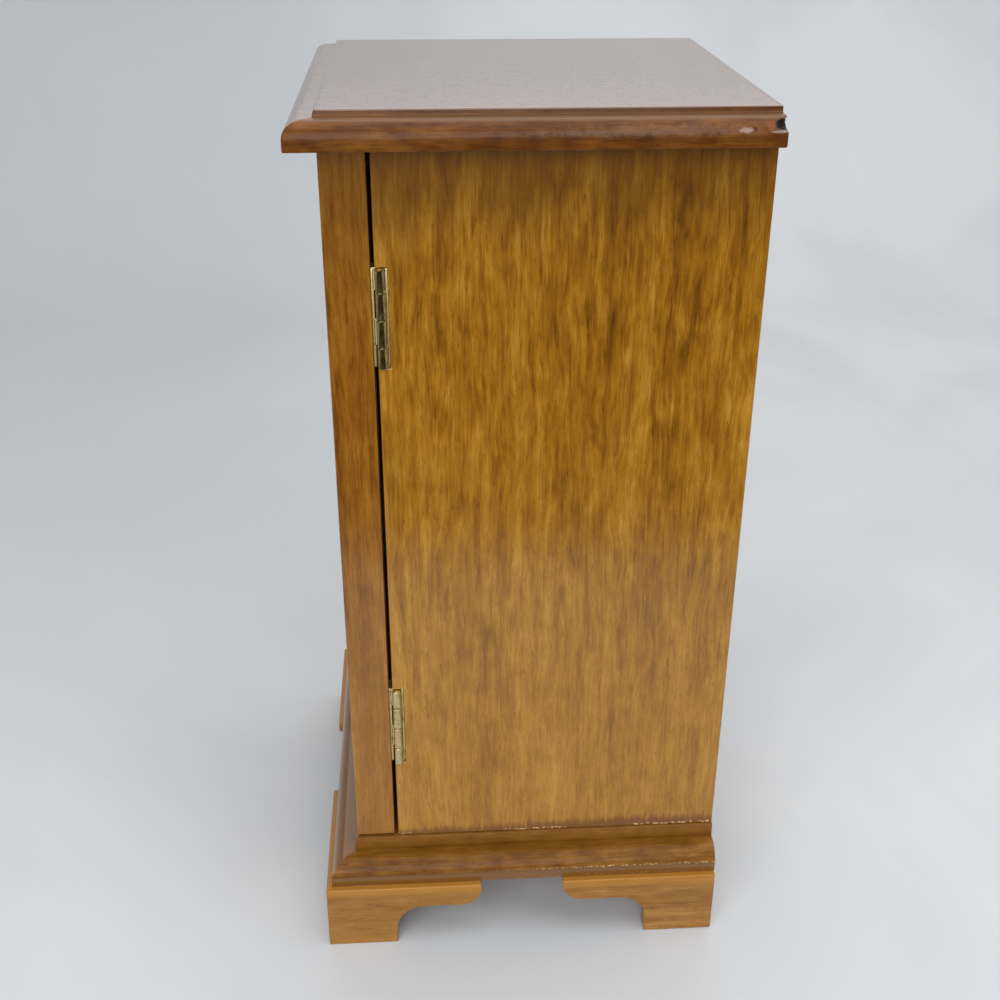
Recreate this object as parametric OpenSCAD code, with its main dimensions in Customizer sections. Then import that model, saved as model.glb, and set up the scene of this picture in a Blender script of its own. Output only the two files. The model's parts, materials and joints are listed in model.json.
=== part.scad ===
// Desktop cabinet on bracket feet, with a pair of panelled doors, two fixed shelves,
// a moulded top and a moulded base frame. Millimetres, +Z up, front towards -Y,
// origin on the table under the middle of the footprint.

/* [Overall] */
// Width of the case over its two side panels
case_w = 164; // [130:1:240]
// Depth from the front of the doors to the back of the case
depth = 160; // [130:1:220]
// Height of the case sides, between base frame and top board
side_h = 304.5; // [240:0.5:420]

/* [Case] */
// Thickness of the side panels
side_t = 10; // [9:0.5:14]
// Thickness of the case bottom and the top rails
board_t = 8; // [6:0.5:12]
// Thickness of each shelf
shelf_t = 7; // [5:0.5:10]
// Depth that shelves, bottom and rails are let into the sides
housing = 4; // [2:0.5:5]
// Thickness of the back panel
back_t = 4; // [3:0.5:6]
// Width of the rebate that holds the back panel
back_rebate = 6; // [4:0.5:8]
// Distance that the shelves stand behind the front edge of the sides
shelf_setback = 6; // [2:0.5:15]
// Front-to-back width of each top rail
rail_w = 36; // [25:1:45]

/* [Top board] */
// Thickness of the top board
top_t = 12.2; // [10:0.2:18]
// Overhang of the top board past the sides and the doors
top_out = 10.8; // [8:0.2:16]
// Height of the step round the top surface
top_step = 2.4; // [1:0.2:4]
// Radius of the quarter round on the top board
top_round = 5.8; // [3:0.2:6.4]
// Distance that the raised field stands past the sides
top_field_out = 0.3; // [0:0.1:1.5]

/* [Base frame] */
// Thickness of the base frame
frame_t = 18; // [14:0.5:24]
// Distance that the base frame stands out past the sides and the doors
frame_out = 11.8; // [9:0.2:16]
// Height of the square fillet at the top of the base moulding
frame_step = 6.4; // [3:0.2:8]
// Radius of the quarter round on the base moulding
frame_round = 7.2; // [4:0.2:7.6]
// Distance that the fillet stands out past the sides
frame_field_out = 1; // [0:0.1:1.6]
// Width of the rails that make the base frame
frame_w = 42; // [36:1:50]

/* [Feet] */
// Height of the bracket feet
foot_h = 32; // [26:1:45]
// Distance that the brackets stand out past the sides and the doors
foot_out = 14.5; // [13:0.5:18]
// Thickness of the bracket boards
bracket_t = 8; // [6:0.5:10]
// Length of each bracket along the cabinet
bracket_len = 69; // [55:1:72]
// Width of the foot where it meets the table
foot_w = 31; // [24:1:34]
// Height of the underside of the bracket's ear
ear_z = 21; // [18:0.5:23]
// Radius of the rounded end of the ear
ear_round = 9; // [5:0.5:10]
// Radius of the hollow between foot and ear
throat_round = 12; // [8:0.5:14]
// Side of the square glue block in each foot
block_w = 12; // [8:1:14]

/* [Doors] */
// Thickness of the doors
door_t = 16.5; // [14:0.5:20]
// Gap between the closed doors and the case
door_gap = 1.5; // [1:0.1:2.5]
// Gap between the two doors, and above and below them
door_play = 1; // [0.6:0.1:2]
// Width of the stiles
stile_w = 18; // [16:0.5:22]
// Height of the top rail of a door
door_top_rail = 22; // [18:1:32]
// Height of the bottom rail of a door
door_bottom_rail = 27; // [20:1:40]
// Depth of the grooves that hold the panel
groove = 6; // [4:0.5:8]
// Thickness of the panel's edge and the rails' tongues
tongue_t = 4.5; // [3:0.5:6]
// Thickness of the raised field of the panel
field_t = 10; // [8:0.5:12]
// Width of the slope round the raised field
bevel_w = 10; // [6:0.5:12]

/* [Hinges] */
// Height of a hinge
hinge_h = 38; // [32:1:50]
// Thickness of a hinge leaf
leaf_t = 1; // [0.8:0.1:1.2]
// Outside radius of the knuckles
knuckle_r = 1.85; // [1.8:0.05:2.2]
// Radius of the hinge pin
pin_r = 0.9; // [0.7:0.05:1]
// Distance from the top of a door to its upper hinge
hinge_top_inset = 42; // [30:1:60]
// Distance from the bottom of a door to its lower hinge
hinge_bottom_inset = 40; // [30:1:60]

/* [Pulls] */
// Radius of the round plate behind a pull
plate_r = 6.5; // [5:0.25:7.5]
// Radius of the ring, to the middle of its wire
ring_r = 7.5; // [6:0.25:9]
// Radius of the ring's wire
wire_r = 0.9; // [0.8:0.05:1]
// Height of the pull above the middle of the door
pull_rise = 0; // [-60:1:60]

/* [Hidden] */

$fn = 48;
eps = 0.01;                 // makes cutters pass through a face
fit = 0.1;                  // clearance round screws, studs and let-in pieces
play = 0.06;                // running clearance of a hinge pin in its knuckle
far = 400;                  // longer than any piece

half_w = case_w / 2;
inner_w = half_w - side_t;                  // from the middle to a side's inner face
let_in_w = inner_w + housing;               // half length of boards let into the sides
back_y = (depth + foot_out) / 2;            // back of the case
door_front = back_y - depth;
door_back = door_front + door_t;
case_front = door_back + door_gap;
panel_y = back_y - back_t;                  // front face of the back panel

frame_z = foot_h;                           // underside of the base frame
case_z = frame_z + frame_t;                 // where the case stands on the base frame
top_z = case_z + side_h;                    // underside of the top board
floor_z = case_z + board_t;                 // top face of the case bottom
rail_z = top_z - board_t;                   // underside of the top rails
shelf_gap = (rail_z - floor_z - 2 * shelf_t) / 3;
shelf_zs = [floor_z + shelf_gap, floor_z + 2 * shelf_gap + shelf_t];

door_z = case_z + door_play;
door_h = side_h - 2 * door_play;
door_w = half_w - door_play / 2;
door_x = door_play / 2;                     // meeting edge of the right door
hinge_zs = [door_z + door_h - hinge_top_inset - hinge_h, door_z + hinge_bottom_inset];

pivot_out = 0.25;                           // hinge axis past the outside of the case
pivot_in = 1.75;                            // hinge axis behind the front edge of the sides
pivot_x = half_w + pivot_out;
pivot_y = case_front + pivot_in;
mortise_wall = 1.5;                         // wood left between a hinge and the inside of the case
mortise_d = pivot_in + knuckle_r + leaf_t;  // a hinge is let wholly into the side panel's front edge
leaf_x = half_w - side_t + mortise_wall;    // inner edge of both hinge leaves
web_x = pivot_x - knuckle_r - leaf_t / 2;   // bend of a leaf, which joins the inner side of its knuckles
leaf_out = web_x + leaf_t;
screw_x = (leaf_x + web_x) / 2;             // line of the hinge screws
screw_r = 1.0;
screw_head_r = 1.9;
hinge_screw_len = 9;
hinge_screw_zs = [for (k = [-1:1]) hinge_h / 2 + k * hinge_h * 0.34];
knuckle_gap = 0.2;                          // end clearance between knuckles
knuckle_ends = hinge_h * [0, 0.225, 0.5, 0.775, 1];     // heights where one knuckle ends and the next begins
knuckle_count = len(knuckle_ends) - 1;

big_screw_r = 1.5;
big_head_r = 3;
top_screw_len = 16;
back_screw_len = 12;
block_h = foot_h - 3;

catch_w = 24;
catch_d = 10;
catch_h = 8;
catch_x = 10;                               // from the middle of the case to the catch
catch_face = 0.2;                           // the magnet stands this far in front of the case
strike_clear = 0.3;                         // between the strike and the magnet of a shut door
strike_t = door_gap - catch_face - strike_clear;

pull_x = door_x + stile_w / 2;
pull_z = door_z + door_h / 2 + pull_rise;
plate_t = 1.2;
eye_r = 2.3;                                // ball that the ring hangs in
eye_out = 2.9;                              // middle of the ball in front of the door
eye_hole_r = wire_r + 0.5;
stud_r = 1.5;
nut_r = 3.5;
nut_t = 2.2;
nut_sink = 3;                               // depth of the recess for the nut

wood = "#a0692c";
wood_dark = "#8a5320";
wood_light = "#b07a38";
brass = "#c2a24a";
steel = "#9a9a9a";

// right-hand pieces are drawn, and left-hand ones are their mirror image
module left_hand() { mirror([1, 0, 0]) children(); }

// box given by its two corners
module span(a, b) { translate(a) cube(b - a); }

// Mouldings

// cross-section of a board with a step and a quarter round on one or both edges:
// from x = back_edge, or mirrored about x = 0, out to the nose
module moulded_section(thick, nose, field, step, round, back_edge) {
    translate([back_edge, 0]) square([nose - back_edge, thick - step - round]);
    translate([back_edge, 0]) square([nose - round - back_edge, thick - step]);
    translate([nose - round, thick - step - round])
        intersection() { circle(round); square(round); }
    translate([back_edge, 0]) square([field - back_edge, thick]);
}

// board lying flat, moulded on its front and both sides and square at the back
module moulded_board(thick, out, field_out, step, round) {
    intersection() {
        translate([0, back_y, 0]) rotate([90, 0, 0]) linear_extrude(far) union() {
            moulded_section(thick, half_w + out, half_w + field_out, step, round, 0);
            mirror([1, 0])
                moulded_section(thick, half_w + out, half_w + field_out, step, round, 0);
        }
        translate([-far / 2, 0, 0]) rotate([90, 0, 90]) linear_extrude(far) mirror([1, 0])
            moulded_section(thick, out - door_front, field_out - door_front, step, round, -back_y);
    }
}

// what lies on the side's side of a 45 degree line from the front right corner of a frame
module mitre_side(out) {
    x0 = half_w + out;
    y0 = door_front - out;
    translate([0, 0, -far / 2]) linear_extrude(far)
        polygon([[x0, y0], [x0, y0 + far], [x0 - far, y0 + far]]);
}

module mitre_front(out) {
    x0 = half_w + out;
    y0 = door_front - out;
    translate([0, 0, -far / 2]) linear_extrude(far)
        polygon([[x0, y0], [x0 - far, y0 + far], [x0 - far, y0]]);
}

// Fasteners

// countersunk screw along +Y with the face of its head at y = 0
module screw(r, head_r, len) {
    difference() {
        rotate([-90, 0, 0]) {
            cylinder(r1 = head_r, r2 = r, h = head_r - r);
            cylinder(r = r, h = len);
        }
        span([-head_r, -eps, -head_r * 0.15], [head_r, head_r * 0.25, head_r * 0.15]);
    }
}

// hole for that screw: a countersink and a straight bore
module screw_hole(r, head_r, len) {
    rotate([-90, 0, 0]) {
        translate([0, 0, -eps]) cylinder(r1 = head_r + fit + eps, r2 = r + fit, h = head_r - r + eps);
        translate([0, 0, -eps]) cylinder(r = r + fit, h = len + fit + eps);
    }
}

// Case

module side_blank() { span([inner_w, case_front, case_z], [half_w, back_y, top_z]); }

// every groove and cut in the right side panel
module side_cuts() {
    for (z = shelf_zs)
        span([inner_w - eps, case_front + shelf_setback, z], [let_in_w, panel_y, z + shelf_t]);
    span([inner_w - eps, case_front - eps, case_z - eps], [let_in_w, panel_y, floor_z]);
    span([inner_w - eps, case_front - eps, rail_z], [let_in_w, panel_y, top_z + eps]);
    span([inner_w - eps, panel_y, case_z - eps], [inner_w + back_rebate, back_y + eps, top_z + eps]);
    for (z = hinge_zs) {
        span([leaf_x, case_front - eps, z - fit],
            [half_w + eps, case_front + mortise_d, z + hinge_h + fit]);
        for (dz = hinge_screw_zs)
            translate([screw_x, case_leaf_face, z + dz]) screw_hole(screw_r, screw_head_r, hinge_screw_len);
    }
    back_screws_right() screw_hole(screw_r, screw_head_r, back_screw_len);
}

module side_right() { color(wood) difference() { side_blank(); side_cuts(); } }

module back_panel() {
    color(wood_light) difference() {
        span([-inner_w - back_rebate, panel_y, case_z], [inner_w + back_rebate, back_y, top_z]);
        back_screws_right() screw_hole(screw_r, screw_head_r, back_screw_len);
        left_hand() back_screws_right() screw_hole(screw_r, screw_head_r, back_screw_len);
    }
}

// puts a child at each screw down the right edge of the back panel, pointing forwards
module back_screws_right() {
    for (k = [0:3])
        translate([inner_w + back_rebate / 2, back_y, case_z + side_h * (0.07 + 0.2867 * k)])
            mirror([0, 1, 0]) children();
}

module back_screws() {
    color(steel) {
        back_screws_right() screw(screw_r, screw_head_r, back_screw_len);
        left_hand() back_screws_right() screw(screw_r, screw_head_r, back_screw_len);
    }
}

module case_bottom() {
    color(wood) span([-let_in_w, case_front, case_z], [let_in_w, panel_y, floor_z]);
}

module shelf(z) {
    color(wood) span([-let_in_w, case_front + shelf_setback, z], [let_in_w, panel_y, z + shelf_t]);
}

// puts a child under each of a rail's two screws, pointing up
module rail_screws(y) {
    for (s = [-1, 1])
        translate([s * inner_w * 0.6, y, rail_z]) rotate([90, 0, 0]) children();
}

front_rail_y = case_front + rail_w / 2;
back_rail_y = panel_y - rail_w / 2;

module top_rail(y) {
    color(wood) difference() {
        span([-let_in_w, y - rail_w / 2, rail_z], [let_in_w, y + rail_w / 2, top_z]);
        rail_screws(y) screw_hole(big_screw_r, big_head_r, top_screw_len);
    }
}

module top_screws() {
    color(steel) for (y = [front_rail_y, back_rail_y])
        rail_screws(y) screw(big_screw_r, big_head_r, top_screw_len);
}

module top_board() {
    color(wood_dark) difference() {
        translate([0, 0, top_z])
            moulded_board(top_t, top_out, top_field_out, top_step, top_round);
        for (y = [front_rail_y, back_rail_y])
            rail_screws(y) screw_hole(big_screw_r, big_head_r, top_screw_len);
    }
}

// Base frame and feet

module frame_blank() {
    translate([0, 0, frame_z]) difference() {
        moulded_board(frame_t, frame_out, frame_field_out, frame_step, frame_round);
        span([-half_w - frame_out + frame_w, door_front - frame_out + frame_w, -eps],
            [half_w + frame_out - frame_w, back_y - frame_w, frame_t + eps]);
    }
}

// the stretch of the frame's back that fills the space between the two side rails
module frame_back_span() {
    span([-half_w - frame_out + frame_w, back_y - frame_w, 0],
        [half_w + frame_out - frame_w, back_y, far]);
}

module base_frame_front() {
    color(wood_dark) intersection() {
        frame_blank();
        mitre_front(frame_out);
        left_hand() mitre_front(frame_out);
        span([-far, -far, 0], [far, door_front - frame_out + frame_w, far]);
    }
}

module base_frame_right() {
    color(wood_dark) difference() {
        intersection() {
            frame_blank();
            mitre_side(frame_out);
            span([0, -far, 0], [far, far, far]);
        }
        frame_back_span();
    }
}

module base_frame_back() { color(wood_dark) intersection() { frame_blank(); frame_back_span(); } }

// outline of a bracket foot, from its outer corner at x = 0 inwards
module bracket_outline() {
    difference() {
        union() {
            square([foot_w, foot_h]);
            translate([0, ear_z]) square([bracket_len, foot_h - ear_z]);
            translate([foot_w - eps, ear_z - throat_round]) square(throat_round + eps);
        }
        translate([foot_w + throat_round, ear_z - throat_round]) circle(throat_round);
        translate([bracket_len - ear_round, ear_z]) difference() {
            translate([0, -eps]) square([ear_round + eps, ear_round + eps]);
            translate([0, ear_round]) circle(ear_round);
        }
    }
}

foot_x = half_w + foot_out;                 // outer face of the side brackets
foot_y = door_front - foot_out;             // outer face of the front brackets

module bracket_front_right() {
    color(wood_light) intersection() {
        translate([foot_x, foot_y, 0]) mirror([1, 0, 0])
            translate([0, bracket_t, 0]) rotate([90, 0, 0]) linear_extrude(bracket_t) bracket_outline();
        mitre_front(foot_out);
    }
}

module bracket_side_front_right() {
    color(wood_light) intersection() {
        translate([foot_x - bracket_t, foot_y, 0])
            rotate([90, 0, 90]) linear_extrude(bracket_t) bracket_outline();
        mitre_side(foot_out);
    }
}

module bracket_side_back_right() {
    color(wood_light) translate([foot_x - bracket_t, back_y, 0]) mirror([0, 1, 0])
        rotate([90, 0, 90]) linear_extrude(bracket_t) bracket_outline();
}

// plain brace behind a back foot, cut off on a slope
module bracket_back_right() {
    brace_len = foot_w + throat_round;
    color(wood_light) translate([foot_x - bracket_t, back_y, 0]) mirror([1, 0, 0])
        rotate([90, 0, 0]) linear_extrude(bracket_t)
            polygon([[0, 0], [foot_w - bracket_t, 0], [brace_len, ear_z], [brace_len, foot_h], [0, foot_h]]);
}

module foot_glue_blocks() {
    x1 = foot_x - bracket_t;
    color(wood) for (s = [-1, 1], y = [foot_y + bracket_t, back_y - bracket_t - block_w])
        span([s > 0 ? x1 - block_w : -x1, y, foot_h - block_h],
            [s > 0 ? x1 : -x1 + block_w, y + block_w, foot_h]);
}

// Hinges

case_leaf_face = case_front + mortise_d - leaf_t;       // the leaf lies on the floor of its mortise
door_leaf_face = door_back + leaf_t;                    // the leaf lies on the back of the door

// puts a flat shape at the heights of every second knuckle from the one numbered first
module at_knuckles(first) {
    for (k = [first:2:knuckle_count - 1]) {
        low = knuckle_ends[k] + (k > 0 ? knuckle_gap / 2 : 0);
        high = knuckle_ends[k + 1] - (k < knuckle_count - 1 ? knuckle_gap / 2 : 0);
        translate([0, 0, low]) linear_extrude(high - low) children();
    }
}

module knuckles(first) {
    for (k = [first:2:knuckle_count - 1]) {
        low = knuckle_ends[k] + (k > 0 ? knuckle_gap / 2 : 0);
        high = knuckle_ends[k + 1] - (k < knuckle_count - 1 ? knuckle_gap / 2 : 0);
        translate([pivot_x, pivot_y, low]) cylinder(r = knuckle_r, h = high - low);
    }
}

module pin_bore(r) {
    translate([pivot_x, pivot_y, -1]) cylinder(r = r, h = hinge_h + 2);
}

// leaf on the floor of the side panel's mortise, bent out to the first and third knuckles
module case_leaf(z) {
    color(brass) translate([0, 0, z]) difference() {
        union() {
            span([leaf_x, case_leaf_face, 0], [leaf_out, case_leaf_face + leaf_t, hinge_h]);
            at_knuckles(0) translate([web_x, pivot_y]) square([leaf_t, case_leaf_face - pivot_y + leaf_t]);
            knuckles(0);
        }
        pin_bore(pin_r + play / 4);
        for (dz = hinge_screw_zs)
            translate([screw_x, case_leaf_face, dz]) screw_hole(screw_r, screw_head_r, hinge_screw_len);
    }
}

// leaf on the back of the door, bent round to the second and fourth knuckles
module door_leaf(z) {
    color(brass) translate([0, 0, z]) difference() {
        union() {
            span([leaf_x, door_back, 0], [leaf_out, door_leaf_face, hinge_h]);
            at_knuckles(1) translate([web_x, door_back]) square([leaf_t, pivot_y - door_back]);
            knuckles(1);
        }
        pin_bore(pin_r + play);
        for (dz = hinge_screw_zs) translate([screw_x, door_leaf_face, dz]) mirror([0, 1, 0])
            screw_hole(screw_r, screw_head_r, hinge_screw_len);
    }
}

module hinge_pin(z) {
    color(brass) translate([pivot_x, pivot_y, z]) cylinder(r = pin_r, h = hinge_h);
}

module hinge_screws_case_right() {
    for (z = hinge_zs, dz = hinge_screw_zs)
        translate([screw_x, case_leaf_face, z + dz]) screw(screw_r, screw_head_r, hinge_screw_len);
}

module hinge_screws_door_right() {
    color(brass) for (z = hinge_zs, dz = hinge_screw_zs)
        translate([screw_x, door_leaf_face, z + dz]) mirror([0, 1, 0])
            screw(screw_r, screw_head_r, hinge_screw_len);
}

// Doors: the right door, from its meeting edge at door_x to the side of the case at half_w

groove_y = (door_front + door_back) / 2 - tongue_t / 2;
frame_in_x0 = door_x + stile_w;             // inner edges of the door frame
frame_in_x1 = half_w - stile_w;
frame_in_z0 = door_z + door_bottom_rail;
frame_in_z1 = door_z + door_h - door_top_rail;
panel_play = 0.3;                           // the panel floats in its grooves

module groove_cut(x0, x1, z0, z1) {
    span([x0, groove_y, z0], [x1, groove_y + tongue_t, z1]);
}

module hinge_stile() {
    color(wood) difference() {
        span([frame_in_x1, door_front, door_z], [half_w, door_back, door_z + door_h]);
        groove_cut(frame_in_x1 - eps, frame_in_x1 + groove, door_z - eps, door_z + door_h + eps);
        for (z = hinge_zs, dz = hinge_screw_zs) translate([screw_x, door_leaf_face, z + dz])
            mirror([0, 1, 0]) screw_hole(screw_r, screw_head_r, hinge_screw_len);
    }
}

module meeting_stile() {
    color(wood) difference() {
        span([door_x, door_front, door_z], [frame_in_x0, door_back, door_z + door_h]);
        groove_cut(frame_in_x0 - groove, frame_in_x0 + eps, door_z - eps, door_z + door_h + eps);
        translate([pull_x, door_front - eps, pull_z]) rotate([-90, 0, 0]) {
            cylinder(r = stud_r + fit, h = door_t + 2 * eps);
            translate([0, 0, door_t - nut_sink]) cylinder(r = nut_r + fit, h = nut_sink + 2 * eps);
        }
    }
}

// a rail of the door, with a tongue at each end and a groove along the edge at groove_z
module door_rail(z0, z1, groove_z0, groove_z1) {
    color(wood) difference() {
        union() {
            span([frame_in_x0, door_front, z0], [frame_in_x1, door_back, z1]);
            span([frame_in_x0 - groove, groove_y, z0], [frame_in_x1 + groove, groove_y + tongue_t, z1]);
        }
        groove_cut(frame_in_x0 - groove - eps, frame_in_x1 + groove + eps, groove_z0, groove_z1);
    }
}

module door_top_rail_piece() {
    door_rail(frame_in_z1, door_z + door_h, frame_in_z1 - eps, frame_in_z1 + groove);
}

module door_bottom_rail_piece() {
    door_rail(door_z, frame_in_z0, frame_in_z0 - groove, frame_in_z0 + eps);
}

// section of the raised panel between two edges, the front towards negative y
module panel_section(a, b) {
    y1 = groove_y + tongue_t - panel_play / 2;
    y0 = groove_y + panel_play / 2;
    slope = groove - panel_play;
    polygon([[a, y1], [a, y0], [a + slope, y0], [a + slope + bevel_w, y1 - field_t],
        [b - slope - bevel_w, y1 - field_t], [b - slope, y0], [b, y0], [b, y1]]);
}

module door_panel() {
    x0 = frame_in_x0 - groove + panel_play;
    x1 = frame_in_x1 + groove - panel_play;
    z0 = frame_in_z0 - groove + panel_play;
    z1 = frame_in_z1 + groove - panel_play;
    color(wood_light) intersection() {
        translate([0, 0, z0]) linear_extrude(z1 - z0) panel_section(x0, x1);
        translate([x0, 0, 0]) rotate([90, 0, 90]) linear_extrude(x1 - x0)
            mirror([1, 0]) rotate(90) panel_section(z0, z1);
    }
}

// Catches and pulls

module catch_magnet() {
    span([catch_x, case_front - catch_face, rail_z - catch_h],
        [catch_x + catch_w, case_front + catch_d, rail_z]);
}

module catch_strike() {
    color(steel) span([catch_x, door_back, rail_z - catch_h],
        [catch_x + catch_w, door_back + strike_t, rail_z]);
}

module pull_plate() {
    color(brass) translate([pull_x, door_front, pull_z]) difference() {
        rotate([90, 0, 0]) {
            cylinder(r1 = plate_r, r2 = plate_r - 0.8, h = plate_t);
            cylinder(r = eye_r * 0.8, h = eye_out);
            translate([0, 0, eye_out]) sphere(eye_r);
            translate([0, 0, -door_t + nut_sink - nut_t]) cylinder(r = stud_r, h = door_t - nut_sink + nut_t);
        }
        translate([-eye_r - 1, -eye_out, 0]) rotate([0, 90, 0]) cylinder(r = eye_hole_r, h = 2 * eye_r + 2);
    }
}

module pull_ring() {
    color(brass) translate([pull_x, door_front - eye_out, pull_z - ring_r]) rotate([90, 0, 0])
        rotate_extrude() translate([ring_r, 0]) circle(wire_r);
}

module pull_nut() {
    color(brass) translate([pull_x, door_back - nut_sink, pull_z]) rotate([-90, 0, 0]) difference() {
        cylinder(r = nut_r, h = nut_t, $fn = 6);
        translate([0, 0, -eps]) cylinder(r = stud_r + eps, h = nut_t + 2 * eps);
    }
}

// Assembly, one line to a node

top_board();
side_right();
left_hand() side_right();  // side_left
back_panel();
case_bottom();
shelf(shelf_zs[0]);  // shelf_lower
shelf(shelf_zs[1]);  // shelf_upper
top_rail(front_rail_y);  // top_rail_front
top_rail(back_rail_y);  // top_rail_back
top_screws();
back_screws();
base_frame_front();
base_frame_right();
left_hand() base_frame_right();  // base_frame_left
base_frame_back();
bracket_front_right();
left_hand() bracket_front_right();  // bracket_front_left
bracket_side_front_right();
left_hand() bracket_side_front_right();  // bracket_side_front_left
bracket_side_back_right();
left_hand() bracket_side_back_right();  // bracket_side_back_left
bracket_back_right();
left_hand() bracket_back_right();  // bracket_back_left
foot_glue_blocks();
color("#5a4030") {  // catch_magnets
    catch_magnet();
    left_hand() catch_magnet();
}
color(brass) {  // hinge_screws_case
    hinge_screws_case_right();
    left_hand() hinge_screws_case_right();
}
case_leaf(hinge_zs[0]);  // hinge_case_leaf_right_upper
case_leaf(hinge_zs[1]);  // hinge_case_leaf_right_lower
left_hand() case_leaf(hinge_zs[0]);  // hinge_case_leaf_left_upper
left_hand() case_leaf(hinge_zs[1]);  // hinge_case_leaf_left_lower
hinge_pin(hinge_zs[0]);  // hinge_pin_right_upper
hinge_pin(hinge_zs[1]);  // hinge_pin_right_lower
left_hand() hinge_pin(hinge_zs[0]);  // hinge_pin_left_upper
left_hand() hinge_pin(hinge_zs[1]);  // hinge_pin_left_lower
door_leaf(hinge_zs[0]);  // hinge_door_leaf_right_upper
door_leaf(hinge_zs[1]);  // hinge_door_leaf_right_lower
left_hand() door_leaf(hinge_zs[0]);  // hinge_door_leaf_left_upper
left_hand() door_leaf(hinge_zs[1]);  // hinge_door_leaf_left_lower
hinge_screws_door_right();
left_hand() hinge_screws_door_right();  // hinge_screws_door_left
hinge_stile();  // door_right_hinge_stile
meeting_stile();  // door_right_meeting_stile
door_top_rail_piece();  // door_right_top_rail
door_bottom_rail_piece();  // door_right_bottom_rail
door_panel();  // door_right_panel
left_hand() hinge_stile();  // door_left_hinge_stile
left_hand() meeting_stile();  // door_left_meeting_stile
left_hand() door_top_rail_piece();  // door_left_top_rail
left_hand() door_bottom_rail_piece();  // door_left_bottom_rail
left_hand() door_panel();  // door_left_panel
catch_strike();  // catch_strike_right
left_hand() catch_strike();  // catch_strike_left
pull_plate();  // pull_plate_right
left_hand() pull_plate();  // pull_plate_left
pull_nut();  // pull_nut_right
left_hand() pull_nut();  // pull_nut_left
pull_ring();  // pull_ring_right
left_hand() pull_ring();  // pull_ring_left
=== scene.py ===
# %% [markdown]
# # A small cabinet on bracket feet
#
# This lesson dresses a imported CAD model of a wooden desktop cabinet. The CAD gives every
# board, hinge and ring its size and place. Here the boards get softened edges, the
# mouldings and the metalwork get real curved surfaces, and everything gets a finish.
# We start by loading the frame.

import json
import math

import bmesh
import bpy
import numpy as np
from mathutils import Matrix, Vector


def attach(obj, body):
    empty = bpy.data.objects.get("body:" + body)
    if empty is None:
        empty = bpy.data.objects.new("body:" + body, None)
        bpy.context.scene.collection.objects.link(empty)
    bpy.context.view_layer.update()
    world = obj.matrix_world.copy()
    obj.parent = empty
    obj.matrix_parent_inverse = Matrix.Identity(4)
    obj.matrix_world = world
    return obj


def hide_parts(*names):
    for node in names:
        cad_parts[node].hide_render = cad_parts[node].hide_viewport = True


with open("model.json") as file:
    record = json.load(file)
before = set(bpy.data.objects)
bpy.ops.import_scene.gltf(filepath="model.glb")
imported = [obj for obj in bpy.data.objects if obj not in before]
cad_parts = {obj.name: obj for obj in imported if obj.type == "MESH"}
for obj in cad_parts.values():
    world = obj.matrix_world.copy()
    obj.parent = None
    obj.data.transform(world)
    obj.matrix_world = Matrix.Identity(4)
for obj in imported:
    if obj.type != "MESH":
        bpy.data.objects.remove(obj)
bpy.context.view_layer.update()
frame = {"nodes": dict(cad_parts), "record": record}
nodes = frame["nodes"]
MM = 0.001


# %% [markdown]
# ## The camera
#
# The camera stands on the cabinet's right and looks a little down on it. Its place and
# turn were worked out once from the corners of the cabinet. We build its matrix from
# three directions: where it looks, what is to its right, and what is up.

# %% Place the camera
YAW, PITCH, ROLL = (math.radians(a) for a in (3.745, 27.249, 0.194))
EYE, LENS, SENSOR = (0.53084, -0.03903, 0.44919), 46.613, 36.0
look = np.array([-math.cos(YAW) * math.cos(PITCH), math.sin(YAW) * math.cos(PITCH), -math.sin(PITCH)])
right = np.array([math.sin(YAW), math.cos(YAW), 0.0])
up = np.cross(right, look)
right, up = (right * math.cos(ROLL) + up * math.sin(ROLL), up * math.cos(ROLL) - right * math.sin(ROLL))

camera_data = bpy.data.cameras.new("camera")
camera_data.lens = LENS
camera_data.sensor_width = SENSOR
camera_data.clip_start = 0.01
camera = bpy.data.objects.new("camera", camera_data)
turn = Matrix([[right[i], up[i], -look[i]] for i in range(3)]).to_4x4()
camera.matrix_world = Matrix.Translation(Vector(EYE)) @ turn
bpy.context.scene.collection.objects.link(camera)
bpy.context.scene.camera = camera
print("camera looks along", [round(float(v), 3) for v in look])


# %% [markdown]
# ## Arithmetic with sockets
#
# A procedural finish is a chain of small sums: noise, stretched, added, clipped. Wiring
# each sum by hand hides the idea, so one small class wraps a node's output socket and
# lets us write the sum as Python. `Flow.node` adds any other kind of node.

# %% The socket wrapper
def math_node(operation, first, second):
    """A Math node on two flows, or on a flow and a number."""
    return Flow.node("Math", {"operation": operation}, {0: first, 1: second})


def both_ways(operation):
    """The two methods of one operation: for flow + other, and for other + flow."""
    return (lambda flow, other: math_node(operation, flow, other),
            lambda flow, other: math_node(operation, other, flow))


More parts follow.
